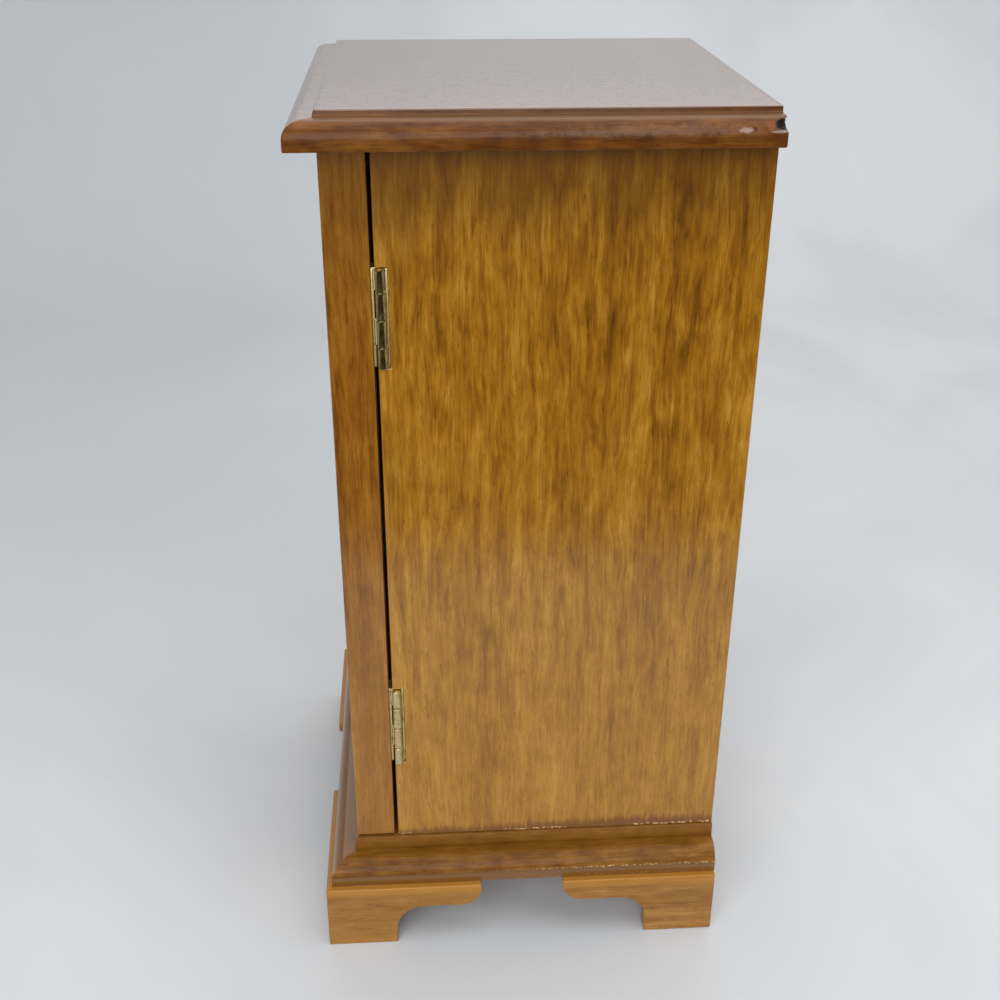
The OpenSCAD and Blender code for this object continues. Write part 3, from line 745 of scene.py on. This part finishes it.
# %% [markdown]
# ## The top board
#
# The top is one thick board with a moulded edge on its front and both sides: a quarter
# round, a narrow flat and a small step up to the raised field. Its back is sawn square,
# because it stands against a wall. Sweeping the moulding round needs mitres, so instead
# the board is made of level rings, like contour lines. Each ring is the plan of the board
# drawn in by the moulding's inset at that height. Hand planing leaves the curve a little
# uneven, and a sum of slow sine waves does the same. A last step pushes the points of the
# knocked corner towards the inside of the board.

# %% The slice of a moulding
TOP_LOW, TOP_HIGH, FIELD_STEP, FIELD_INSET = 354.5, 366.7, 2.4, 10.5
TOP_ROUND, SANDED, COVE = 5.8, 0.5, 0.25


def uneven(x, y, z, amount, seed=7):
    """Never negative and at most amount: the mean of five sine waves in space, each 9 to 60 mm long."""
    chance = np.random.default_rng(seed)
    total = 0.0
    for length in np.linspace(9.0, 60.0, 5):
        kx, ky, kz = chance.normal(size=3)
        size = math.sqrt(kx * kx + ky * ky + kz * kz)
        phase = 2 * np.pi * (kx * x + ky * y + kz * z) / (length * size)
        total = total + np.sin(phase + chance.uniform(0, 6.28))
    return amount * (1.0 + total / 5.0) / 2.0


def moulding(low, high, round_r, nose_top, field_inset, sanded):
    """(inset, height) pairs of a slice: the underside, then four bows.

    The bows are its sanded lower edge, the round nose, the cove at the end of the flat, and the sanded
    edge of the field.
    """
    ledge = nose_top + round_r
    return np.concatenate([
        [(3 * sanded, low)],
        bow(sanded, low + sanded, sanded, -90, 0, 5),
        bow(round_r, nose_top, round_r, 0, 90, 17),
        bow(field_inset - COVE, ledge + COVE, -COVE, 90, 180, 4),
        bow(field_inset + sanded, high - sanded, sanded, 0, 90, 5)])


top_profile = moulding(TOP_LOW, TOP_HIGH, TOP_ROUND, TOP_HIGH - FIELD_STEP - TOP_ROUND, FIELD_INSET, SANDED)
print("slice of the top's moulding:", len(top_profile), "points")


# %% Rings of the top board
BACK_Y, BACK_CORNER, SIDE_POINTS, PLANED, PLANED_REACH = 87.25, 0.7, 150, 0.22, 80.0
KNOCK, KNOCK_SIZE, KNOCK_TO = (92.5, 87.25, 362.4), (6.0, 4.4, 2.6), (78.0, 74.0, 358.0)
KNOCK_REACH, KNOCK_MOST, KNOCK_SHARE, KNOCK_RAGGED = 1.25, 0.8, 0.22, 0.5

top_profile = np.concatenate([top_profile, [(FIELD_INSET + 4 * SANDED, TOP_HIGH)]])
inset, height = top_profile.T
inset = np.maximum(inset, 0.0)
underside = np.where(height < TOP_LOW + SANDED, inset, 0.0)
at_back = np.where(height > TOP_HIGH - SANDED - 1e-6, inset - FIELD_INSET, underside)
plan = rounded_plan(-(NOSE_X - inset), NOSE_X - inset, NOSE_Y + inset, BACK_Y - at_back,
                    np.full(len(inset), BACK_CORNER), side=SIDE_POINTS)
points = np.dstack([plan, np.repeat(height[:, None], plan.shape[1], axis=1)])
x, y, z = points[..., 0], points[..., 1], points[..., 2]
worked = ((height > TOP_LOW + 0.1) & (height < TOP_HIGH - FIELD_STEP))[:, None]
slack = uneven(x, y, z, PLANED) * worked / PLANED_REACH
points[..., :2] -= points[..., :2] * slack[..., None]

ragged = uneven(x * 9, y * 9, z * 9, KNOCK_RAGGED, seed=21)
far = np.linalg.norm((points - KNOCK) / KNOCK_SIZE, axis=2)
depth = np.clip(KNOCK_REACH - far - ragged, 0.0, KNOCK_MOST)
points += (KNOCK_TO - points) * (KNOCK_SHARE * depth)[..., None]
top_board = build("top_board_moulded", [(points, "ends")], FINISHES["top_board"])
settle(top_board, node_body["top_board"], node_slot["top_board"], "top_board")
print("top board:", len(top_board.data.polygons), "faces")


# %% [markdown]
# ## The base moulding
#
# The base is a frame of boards under the case. Its front and its two sides carry a bolder
# version of the same moulding and meet in mitres at the front corners. Here the mitre
# matters, because the boards are separate and the joint shows. Each board is the closed
# slice of the moulding, carried along the board. Its ends aren't square: a point that
# lies further in starts further along, by exactly its inset, and that makes 45 degrees.

# %% Mitred boards
BASE_LOW, BASE_HIGH, BASE_WIDE, JOINT = 32.0, 50.0, 42.0, 0.03
BASE_ROUND, BASE_NOSE_TOP, BASE_FIELD, BASE_SANDED, BASE_PLANED = 7.2, 36.4, 10.8, 0.4, 0.2

base_profile = moulding(BASE_LOW, BASE_HIGH, BASE_ROUND, BASE_NOSE_TOP, BASE_FIELD, BASE_SANDED)
base_profile = np.concatenate([base_profile, [(BASE_WIDE, BASE_HIGH), (BASE_WIDE, BASE_LOW)]])


def mitred(start, stop, steps=90):
    """The slice carried from start(inset) to stop(inset): (along, inset, height), each (steps, points)."""
    inset, height = base_profile.T
    inset = np.maximum(inset, 0.0)
    share = np.linspace(0.0, 1.0, steps)[:, None]
    along = start(inset) * (1 - share) + stop(inset) * share
    soft = (height > BASE_LOW + 0.1) & (height < BASE_NOSE_TOP + BASE_ROUND)
    inset = inset + uneven(along, inset, height, BASE_PLANED, seed=11) * soft
    return along, inset, height + 0.0 * along


along, inset, height = mitred(lambda d: BASE_Y + d + JOINT, lambda d: BACK_Y + 0.0 * d)
side_moulding = np.dstack([BASE_X - inset, along, height])
along, inset, height = mitred(lambda d: -(BASE_X - d) + JOINT, lambda d: BASE_X - d - JOINT)
front_moulding = np.dstack([along, BASE_Y + inset, height])
for node, points in (("base_frame_right", side_moulding), ("base_frame_left", side_moulding * (-1, 1, 1)),
                     ("base_frame_front", front_moulding)):
    made = build(node + "_moulded", [(points, "ends")], FINISHES[node])
    settle(made, node_body[node], node_slot[node], node)
print("base mouldings: 3, with", len(base_profile), "points in the slice")


# %% [markdown]
# ## Turned and plate parts
#
# Most metal parts are turned or stamped. A turned part is a profile that runs round an
# axis, and a stamped plate is a stack of rounded rectangles, drawn in at both faces by a
# quarter circle. Two short functions make them all.

# %% Turning and stamping
def revolve(profile, centre, axis="z", steps=48):
    """Each (r, h) of the profile becomes a circle: centre + h along the axis + r (cos a, sin a) across it."""
    r, h = (np.asarray(v, float)[:, None] for v in np.asarray(profile, float).T)
    a = np.linspace(0.0, 2 * np.pi, steps, endpoint=False)
    first, second, along = r * np.cos(a), r * np.sin(a), h + 0.0 * a
    order = {"z": (first, second, along), "x": (along, first, second), "y": (second, along, first)}[axis]
    return np.dstack(order) + np.asarray(centre, float)


def plate(spans, axis, edge, corner):
    """A flat plate, as a part for build(), that fills three (from, to) spans along x, y and z (mm).

    Its edges are rounded at both faces: inset = e (1 - sin a) and depth = e (1 - cos a).
    """
    u, v, w = {"z": (0, 1, 2), "y": (2, 0, 1), "x": (1, 2, 0)}[axis]
    low, high = zip(*spans)
    a = np.linspace(0.0, np.pi / 2, 4)
    drawn = np.concatenate([[3 * edge], edge * (1 - np.sin(a))])
    depth = np.concatenate([[0.0], edge * (1 - np.cos(a))])
    inset = np.concatenate([drawn, drawn[::-1]])
    rise = np.concatenate([low[w] + depth, high[w] - depth[::-1]])
    round_r = np.maximum(corner - inset, 0.05)
    flat = rounded_plan(low[u] + inset, high[u] - inset, low[v] + inset, high[v] - inset, round_r)
    points = np.empty(flat.shape[:2] + (3,))
    points[..., u], points[..., v], points[..., w] = flat[..., 0], flat[..., 1], rise[:, None]
    return points, "ends"


print("revolve() and plate() are ready")


# %% [markdown]
# ## Butt hinges
#
# Each door hangs on two narrow brass butts. A butt has two leaves, and each leaf is rolled
# into two of the four knuckles that turn on the pin. Only the barrel shows when the door
# is shut: four short tubes with rounded rims, so that a bright ring appears where two of
# them meet. The leaves lie on the back of the door and in a deep mortise of the case, and
# a narrow web joins each of them to its own knuckles.

# %% Leaves and knuckles
HINGE_H, HINGE_BOTTOMS = 38.0, {"upper": 273.5, "lower": 91.0}
PIVOT_X, PIVOT_Y, KNUCKLE_R, PIN_R = 82.25, -53.0, 1.85, 0.9
KNUCKLE_ENDS, KNUCKLE_GAP, RIM = (0.0, 8.55, 19.0, 29.45, 38.0), 0.2, 0.38
LEAF_X, WEB_X, LEAF_T = (73.5, 80.9), (79.9, 80.9), 1.0
CASE_LEAF_Y, DOOR_LEAF_Y = -51.15, -56.25


def knuckle(bottom, top):
    """A short tube with rounded rims and a waist 0.06 mm slimmer than its ends."""
    waist = np.array([(PIN_R + 0.02, top), (PIN_R + 0.02, bottom)])
    low = bow(-(KNUCKLE_R - RIM), bottom + RIM, RIM, -90, 0, 5) * (-1, 1)
    high = bow(-(KNUCKLE_R - RIM), top - RIM, RIM, 0, 90, 5) * (-1, 1)
    middle = np.array([(KNUCKLE_R - 0.06, bottom + 2 * RIM), (KNUCKLE_R - 0.06, top - 2 * RIM)])
    return revolve(np.concatenate([low, middle, high, waist]), (PIVOT_X, PIVOT_Y, 0.0))


def leaf(bottom, face_y, knuckles):
    """A leaf, its webs and its knuckles, for the right-hand side of the cabinet."""
    parts = [plate((LEAF_X, (face_y, face_y + LEAF_T), (bottom, bottom + HINGE_H)), "y", 0.15, 0.9)]
    reach = sorted((face_y + LEAF_T / 2, PIVOT_Y))
    for k in knuckles:
        low = bottom + KNUCKLE_ENDS[k] + (KNUCKLE_GAP / 2 if k else 0.0)
        high = bottom + KNUCKLE_ENDS[k + 1] - (KNUCKLE_GAP / 2 if k < 3 else 0.0)
        parts.append(plate((WEB_X, reach, (low, high)), "x", 0.12, 0.2))
        parts.append((knuckle(low, high), "loop"))
    return parts


def mirrored(parts):
    """The same parts on the other side of the middle."""
    return [(points * (-1, 1, 1), closing) for points, closing in parts]


print("a leaf is", HINGE_H, "mm high")


# %% Four hinges
pin_profile = [(0.0, -0.05), (0.5, 0.0), (PIN_R, 0.25),
               (PIN_R, HINGE_H - 0.25), (0.5, HINGE_H), (0.0, HINGE_H + 0.05)]
hinge_pieces = 0
for level, bottom in HINGE_BOTTOMS.items():
    kinds = {"hinge_case_leaf": leaf(bottom, CASE_LEAF_Y, (0, 2)),
             "hinge_door_leaf": leaf(bottom, DOOR_LEAF_Y, (1, 3)),
             "hinge_pin": [(revolve(pin_profile, (PIVOT_X, PIVOT_Y, bottom), steps=24), "poles")]}
    for kind, parts in kinds.items():
        for hand in ("right", "left"):
            node = f"{kind}_{hand}_{level}"
            made = build(node + "_brass", parts if hand == "right" else mirrored(parts), HINGE_BRASS, 40.0)
            settle(made, node_body[node], node_slot[node], node)
            hinge_pieces += 1
print("hinge pieces:", hinge_pieces)


# %% [markdown]
# ## Slotted screws
#
# Every screw is a countersunk wood screw with one slot. A slot cut into a round grid would
# have jagged sides, so the head is made of straight rows parallel to the slot instead, each
# as long as the circle allows there. Two rows lie on each side wall of the slot, one high
# and one low. The shank is a turned shape whose radius also depends on the turn, which
# draws the thread as a helix. A seeded random angle turns every slot of a set its own way.

# %% One screw
SLOT_HALF, SLOT_DEEP, HEAD_DOME = 0.17, 0.32, 0.1
HEAD_TURNS = np.radians(np.linspace(84, 12, 9))
SHANK_ROWS_PER_MM, SHANK_SIDES, SHANK_SHORT, POINT = 8, 12, 0.5, 0.25
THREAD_PITCH, THREAD_CUT, THREAD_FROM = 1.2, 0.5, 0.25


def screw(centre, out, head_r, shank_r, length, angle):
    """Parts of one screw: out is the direction that its head faces, and angle turns its slot.

    A head row at x reaches y = sqrt(head_r^2 - x^2) and rises in a low dome. The shank's radius is
    shank_r, less a saw wave of (depth / pitch - a / 2 pi), and it runs out in a point.
    """
    out = np.asarray(out, float)
    side = np.cross(out, (1.0, 0.3, 0.2))
    side /= np.linalg.norm(side)
    up = np.cross(out, side)
    u = side * math.cos(angle) + up * math.sin(angle)
    v = up * math.cos(angle) - side * math.sin(angle)

    half = SLOT_HALF * head_r
    outer = head_r * np.sin(HEAD_TURNS)
    x = np.concatenate([-outer, [-half, -half, 0.0, half, half], outer[::-1]])[:, None]
    sunk = np.zeros(x.shape)
    sunk[len(outer) + 1:len(outer) + 4] = SLOT_DEEP * head_r
    y = np.sqrt(head_r ** 2 - x ** 2) * np.sin(np.linspace(-np.pi / 2, np.pi / 2, 9))
    dome = HEAD_DOME * (1 - (x ** 2 + y ** 2) / head_r ** 2)
    top = np.dstack([x + 0.0 * y, y, dome - sunk])
    below = (top * (1, 1, 0))[:, ::-1] * (shank_r / head_r) - (0.0, 0.0, head_r - shank_r)
    head = np.concatenate([top, below], axis=1)

    h = np.linspace(0.0, 1.0, SHANK_ROWS_PER_MM * int(length))[:, None]
    a = np.linspace(0.0, 2 * np.pi, SHANK_SIDES, endpoint=False)
    saw = np.abs((h * length / THREAD_PITCH - a / (2 * np.pi)) % 1.0 - 0.5)
    thread = saw * THREAD_CUT * (h > THREAD_FROM)
    r = shank_r * (1.0 - thread) * np.minimum(1.0, (1 - h) / POINT)
    depth = (head_r - shank_r) * 0.5 + h * (length - SHANK_SHORT)
    shank = np.dstack([r * np.cos(a), r * np.sin(a), 0.0 * a - depth])
    centre = np.asarray(centre, float)
    return [(p[..., :1] * u + p[..., 1:2] * v + p[..., 2:] * out + centre, "ends") for p in (head, shank)]


print("a slot is", SLOT_DEEP, "of the head's radius deep")


# %% Every screw
# Sizes are the head's radius, the shank's radius and the length, in mm.
HINGE_SCREW, BACK_SCREW, TOP_SCREW = (1.9, 1.0, 9.0), (1.9, 1.0, 12.0), (3.0, 1.5, 16.0)
HINGE_SCREW_X, HINGE_SCREW_ZS = 76.7, (6.08, 19.0, 31.92)
BACK_SCREW_X, BACK_SCREW_ZS = 75.0, (71.3, 158.6, 245.9, 333.2)
TOP_SCREW_X, TOP_SCREW_YS, TOP_SCREW_Z = 43.2, (-36.75, 65.25), 346.6
BACK, FORWARD, DOWN = (0.0, 1.0, 0.0), (0.0, -1.0, 0.0), (0.0, 0.0, -1.0)


def screws(node, places, out, size, finish, seed):
    """All the screws of one node as one piece, with a seeded angle for each slot."""
    chance = np.random.default_rng(seed)
    parts = [part for spot in places for part in screw(spot, out, *size, chance.uniform(0, np.pi))]
    piece = build(node + "_slotted", parts, finish, 40.0)
    settle(piece, node_body[node], node_slot[node], node)


levels = [bottom + dz for bottom in HINGE_BOTTOMS.values() for dz in HINGE_SCREW_ZS]
screws("hinge_screws_case", [(s * HINGE_SCREW_X, CASE_LEAF_Y, z) for s in (1, -1) for z in levels],
       FORWARD, HINGE_SCREW, BRASS, 1)
for hand, s in (("right", 1), ("left", -1)):
    screws("hinge_screws_door_" + hand, [(s * HINGE_SCREW_X, DOOR_LEAF_Y + LEAF_T, z) for z in levels],
           BACK, HINGE_SCREW, BRASS, 2)
screws("back_screws", [(s * BACK_SCREW_X, BACK_Y - 0.1, z) for s in (1, -1) for z in BACK_SCREW_ZS],
       BACK, BACK_SCREW, STEEL, 3)
screws("top_screws", [(s * TOP_SCREW_X, y, TOP_SCREW_Z) for s in (1, -1) for y in TOP_SCREW_YS],
       DOWN, TOP_SCREW, STEEL, 4)
print("screws: 24 in the hinges, 8 in the back, 4 in the top")


# %% [markdown]
# ## Ring pulls and catches
#
# Each door has a brass ring that swings in an eye on a round plate. The plate is turned
# with a rolled rim and a hollow inside it. The eye is a ball with a hole across it, which
# is a turned shape too, but round the axis of the hole. The catches are a plastic body with
# two steel pole strips on the case, and a steel strike on the door.

# %% Slices of a pull
PULL_X, PULL_Z, DOOR_FRONT = 9.5, 202.25, -72.75
PLATE_R, PLATE_T, ROLL_R, STUD_R, STUD_END = 6.5, 1.2, 0.45, 1.5, 15.7
EYE_OUT, EYE_R, EYE_HOLE, RING_R, WIRE_R = 2.9, 2.3, 1.4, 7.5, 0.9
HOLLOW = [(4.6, -ROLL_R), (3.6, -0.55), (2.9, -0.95), (2.2, -PLATE_T), (0.0, -PLATE_T)]

out_of_door = np.concatenate([
    [(0.0, STUD_END), (STUD_R, STUD_END), (STUD_R, 0.0), (PLATE_R - 0.05, 0.0)],
    bow(-(PLATE_R - 0.5), -ROLL_R, ROLL_R, 0, -150, 9) * (-1, 1), HOLLOW])
hole_turn = math.asin(math.sqrt(EYE_R ** 2 - EYE_HOLE ** 2) / EYE_R)
a = np.linspace(-hole_turn, hole_turn, 15)
eye_slice = np.concatenate([np.stack([EYE_R * np.cos(a), EYE_R * np.sin(a)], 1), [(EYE_HOLE, 0.0)]])
b = np.linspace(0.0, 2 * np.pi, 24, endpoint=False)
ring_slice = np.stack([RING_R + WIRE_R * np.cos(b), WIRE_R * np.sin(b)], 1)
print("slices: plate", len(out_of_door), "eye", len(eye_slice), "ring", len(ring_slice), "points")


# %% Two pulls
for hand, s in (("right", 1), ("left", -1)):
    eye_centre = (s * PULL_X, DOOR_FRONT - EYE_OUT, PULL_Z)
    ring_centre = (s * PULL_X, DOOR_FRONT - EYE_OUT, PULL_Z - RING_R)
    turned = [(revolve(out_of_door, (s * PULL_X, DOOR_FRONT, PULL_Z), "y", 64), "poles"),
              (revolve(eye_slice, eye_centre, "x", 40), "loop")]
    ring = [(revolve(ring_slice, ring_centre, "y", 96), "loop")]
    for node, made in (("pull_plate_" + hand, build("pull_plate_turned_" + hand, turned, BRASS, 40.0)),
                       ("pull_ring_" + hand, build("pull_ring_turned_" + hand, ring, BRASS)),
                       ("pull_nut_" + hand, eased_copy("pull_nut_" + hand, 0.2 * MM, BRASS, 1.2 * MM))):
        settle(made, node_body[node], "brass", node)
print("pulls: plate, eye, ring and nut for two doors")


# %% Catches
CATCH_X, CATCH_Y, CATCH_Z = (10.0, 34.0), (-54.95, -44.75), (338.5, 346.5)
POLE_X, POLE_Y, POLE_T = (13.0, 31.0), (CATCH_Y[0], CATCH_Y[0] + 4), 1.1
POLE_STANDS, POLE_IN, STRIKE_Y = 0.5, 1.6, (-56.25, -55.25)
body = [plate((CATCH_X, (CATCH_Y[0] + POLE_STANDS, CATCH_Y[1]), CATCH_Z), "y", 0.4, 1.3)]
settle(build("catch_bodies", body + mirrored(body), CATCH), "case", "catch_body", "catch_magnets")
poles = [plate((POLE_X, POLE_Y, (z, z + POLE_T)), "y", 0.12, 0.4)
         for z in (CATCH_Z[0] + POLE_IN, CATCH_Z[1] - POLE_IN - POLE_T)]
settle(build("catch_pole_strips", poles + mirrored(poles), STEEL), "case", "steel")
strike = [plate((CATCH_X, STRIKE_Y, CATCH_Z), "y", 0.15, 1.0)]
for hand, parts in (("right", strike), ("left", mirrored(strike))):
    node = "catch_strike_" + hand
    settle(build(node + "_stamped", parts, STEEL), node_body[node], "steel", node)
print("catches: 2 bodies with 4 pole strips, 2 strikes")


# %% [markdown]
# ## Floor and light
#
# The cabinet stands on a sheet of pale paper that curves up behind it, so that no horizon
# shows, and a painted shade makes it a little greyer towards its back left. A broad soft
# light hangs above, and one on the camera's side lights the panel that we look at. A large
# one stands far behind the cabinet: its reflection is what turns the lacquered top pale
# grey. The paper ends a little in front of the cabinet, at the edge of the table, and the
# floor of the room lies dark below. That is why the lower half of the side shows a pale
# sheen and the upper half a deep colour; a painted sheen in the wood adds to the lower half.

# %% Paper sweep and room floor
def stage_sheet(name, edge_points, half_width, finish):
    """A sheet that follows (x, z) points in metres and is as wide as twice half_width along y."""
    edge_points = np.asarray(edge_points, float)
    n = len(edge_points)
    ends = [np.column_stack([edge_points[:, 0], np.full(n, y), edge_points[:, 1]])
            for y in (-half_width, half_width)]
    faces = [(k, k + 1, n + k + 1, n + k) for k in range(n - 1)]
    mesh = bpy.data.meshes.new(name)
    mesh.from_pydata(np.concatenate(ends).tolist(), [], faces)
    mesh.polygons.foreach_set("use_smooth", np.ones(len(mesh.polygons), bool))
    mesh.materials.append(finish)
    sheet = bpy.data.objects.new(name, mesh)
    bpy.context.scene.collection.objects.link(sheet)


PAPER_EDGE, BEND_X, BEND_R, WALL_TOP, PAPER_HALF = 0.43, -0.75, 0.40, 0.62, 1.6
paper, shader = new_finish("paper")
x, y, z = place()
soft = noise(vector(x, y, z), 4.0, 3.0, 0.55, 0.8)
crease = Flow.node("Bump", inputs={"Strength": 0.3, "Distance": 0.002, "Height": soft})
sheet_colour = tint(ease(soft, 0.35, 0.7), linear(212, 215, 218), linear(221, 223, 225))
# Painted shade: the paper goes a little greyer towards the back left.
back_left_painted_shade = ease(y, 0.15, -0.30) * ease(x, 0.10, -0.40)
feed(shader, base_color=tint(back_left_painted_shade * 0.8, sheet_colour, linear(190, 195, 199)), roughness=0.8, normal=crease)
angles = np.linspace(0.0, np.pi / 2, 24)
sweep = np.concatenate([[(PAPER_EDGE, 0.0)],
                        np.stack([BEND_X - BEND_R * np.sin(angles), BEND_R * (1 - np.cos(angles))], 1),
                        [(BEND_X - BEND_R, WALL_TOP)]])
stage_sheet("paper_sweep", sweep, PAPER_HALF, paper)

ROOM_LEVEL, ROOM_END, ROOM_HALF = -0.75, 7.0, 4.0
room, shader = new_finish("room_floor")
clouds = ease(noise(vector(*place()), 3.0, 3.0), 0.3, 0.7)
feed(shader, base_color=tint(clouds, linear(70, 62, 54), linear(86, 76, 66)), roughness=0.7)
stage_sheet("room_floor", [(PAPER_EDGE, ROOM_LEVEL), (ROOM_END, ROOM_LEVEL)], ROOM_HALF, room)
print("paper from x =", PAPER_EDGE, "m back to a wall at x =", BEND_X - BEND_R, "m")


# %% Lamps and room light
def soft_lamp(name, spot, aim, width, height, watts):
    """A flat area lamp at spot that faces aim."""
    data = bpy.data.lights.new(name, "AREA")
    data.shape = "RECTANGLE"
    data.size, data.size_y, data.energy = width, height, watts
    lamp = bpy.data.objects.new(name, data)
    lamp.location = spot
    lamp.rotation_euler = (Vector(aim) - Vector(spot)).to_track_quat("-Z", "Y").to_euler()
    bpy.context.scene.collection.objects.link(lamp)


soft_lamp("overhead", (0.25, 0.5, 2.2), (0.0, 0.0, 0.15), width=2.4, height=2.4, watts=35.0)
soft_lamp("window_behind", (-1.7, 0.0, 1.25), (0.0, 0.0, 0.3), width=2.4, height=1.3, watts=10.2)
soft_lamp("fill_camera_side", (1.7, -0.5, 0.9), (0.0, 0.0, 0.2), width=2.0, height=1.4, watts=27.0)
ROOM_COLOUR, ROOM_STRENGTH = (0.80, 0.83, 0.87, 1.0), 0.25
world = bpy.data.worlds.new("room")
bpy.context.scene.world = world
world.use_nodes = True
world.node_tree.nodes["Background"].inputs[0].default_value = ROOM_COLOUR
world.node_tree.nodes["Background"].inputs[1].default_value = ROOM_STRENGTH
bpy.context.scene.view_settings.view_transform = "Standard"
